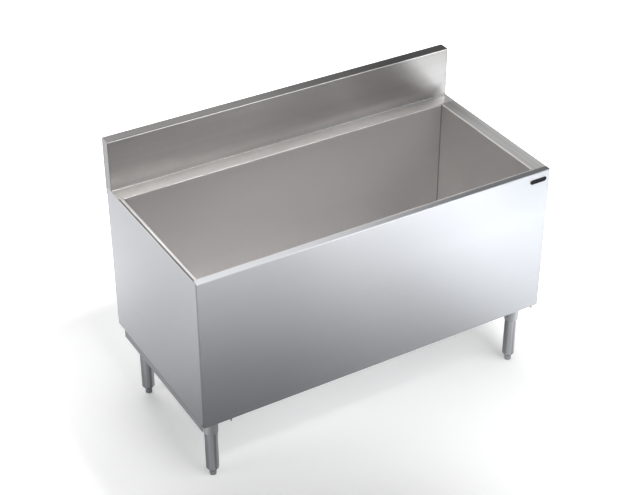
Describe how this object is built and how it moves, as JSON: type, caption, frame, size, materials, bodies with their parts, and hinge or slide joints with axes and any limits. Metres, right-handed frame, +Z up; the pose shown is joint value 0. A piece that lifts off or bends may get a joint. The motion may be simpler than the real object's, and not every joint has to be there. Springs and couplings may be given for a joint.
{
  "type": "underbar ice bin",
  "caption": "Free-standing underbar ice bin: a foam-insulated stainless ice well with an apron, a backsplash, perforated false bottoms, a drain and four legs with levelling feet.",
  "frame": {"origin": "centre of the bounding box at the floor, where the feet stand", "axes": "+X to the right along the front, +Y from the front to the back, +Z up"},
  "size_m": [1.2192, 0.6082, 0.9305],
  "materials": {
    "stainless": "fine straight-grain brushed stainless",
    "galvanised": "dull galvanised sheet",
    "leg_steel": "satin stainless tube and turned steel",
    "leg_casting": "satin plated steel casting",
    "fasteners": "bright plated",
    "dark_fasteners": "black oxide",
    "drain_metal": "nickel-plated brass",
    "brass": "plain machined brass",
    "rubber": "matt black rubber",
    "fibre": "hard fibre",
    "foam": "rigid closed-cell foam, hidden inside",
    "plate_black": "black anodised, satin"
  },
  "bodies": {
    "cabinet": {"front_apron": "stainless", "left_side_panel": "stainless", "right_side_panel": "stainless", "back_panel": "galvanised", "bottom_pan": "galvanised", "backsplash_deck": "stainless", "left_end_cap": "stainless", "right_end_cap": "stainless", "left_rim": "stainless", "right_rim": "stainless", "liner_floor": "stainless", "liner_front_wall": "stainless", "liner_back_wall": "stainless", "liner_left_wall": "stainless", "liner_right_wall": "stainless", "insulation": "foam", "drain_body": "drain_metal", "drain_gasket": "rubber", "drain_washer": "fibre", "drain_locknut": "brass", "drain_strainer": "stainless", "left_leg_channel": "stainless", "right_leg_channel": "stainless", "gusset_screws": "fasteners", "set_screws": "dark_fasteners", "name_plate": "plate_black", "back_rivets": "fasteners", "leg_gusset_front_left": "leg_casting", "leg_tube_front_left": "leg_steel", "foot_insert_front_left": "leg_steel", "leg_gusset_front_right": "leg_casting", "leg_tube_front_right": "leg_steel", "foot_insert_front_right": "leg_steel", "leg_gusset_rear_left": "leg_casting", "leg_tube_rear_left": "leg_steel", "foot_insert_rear_left": "leg_steel", "leg_gusset_rear_right": "leg_casting", "leg_tube_rear_right": "leg_steel", "foot_insert_rear_right": "leg_steel"},
    "foot_front_left_body": {"foot_front_left": "leg_steel"},
    "foot_front_right_body": {"foot_front_right": "leg_steel"},
    "foot_rear_left_body": {"foot_rear_left": "leg_steel"},
    "foot_rear_right_body": {"foot_rear_right": "leg_steel"},
    "left_false_bottom_body": {"left_false_bottom": "stainless"},
    "right_false_bottom_body": {"right_false_bottom": "stainless"}
  },
  "joints": [
    {"name": "foot_front_left_level", "type": "slide", "parent": "cabinet", "child": "foot_front_left_body", "axis": [0, 0, -1], "range_m": [0, 0.025]},
    {"name": "foot_front_right_level", "type": "slide", "parent": "cabinet", "child": "foot_front_right_body", "axis": [0, 0, -1], "range_m": [0, 0.025]},
    {"name": "foot_rear_left_level", "type": "slide", "parent": "cabinet", "child": "foot_rear_left_body", "axis": [0, 0, -1], "range_m": [0, 0.025]},
    {"name": "foot_rear_right_level", "type": "slide", "parent": "cabinet", "child": "foot_rear_right_body", "axis": [0, 0, -1], "range_m": [0, 0.025]},
    {"name": "left_false_bottom_lift", "type": "slide", "parent": "cabinet", "child": "left_false_bottom_body", "axis": [0, 0, 1], "range_m": [0, 0.46]},
    {"name": "right_false_bottom_lift", "type": "slide", "parent": "cabinet", "child": "right_false_bottom_body", "axis": [0, 0, 1], "range_m": [0, 0.46]}
  ]
}
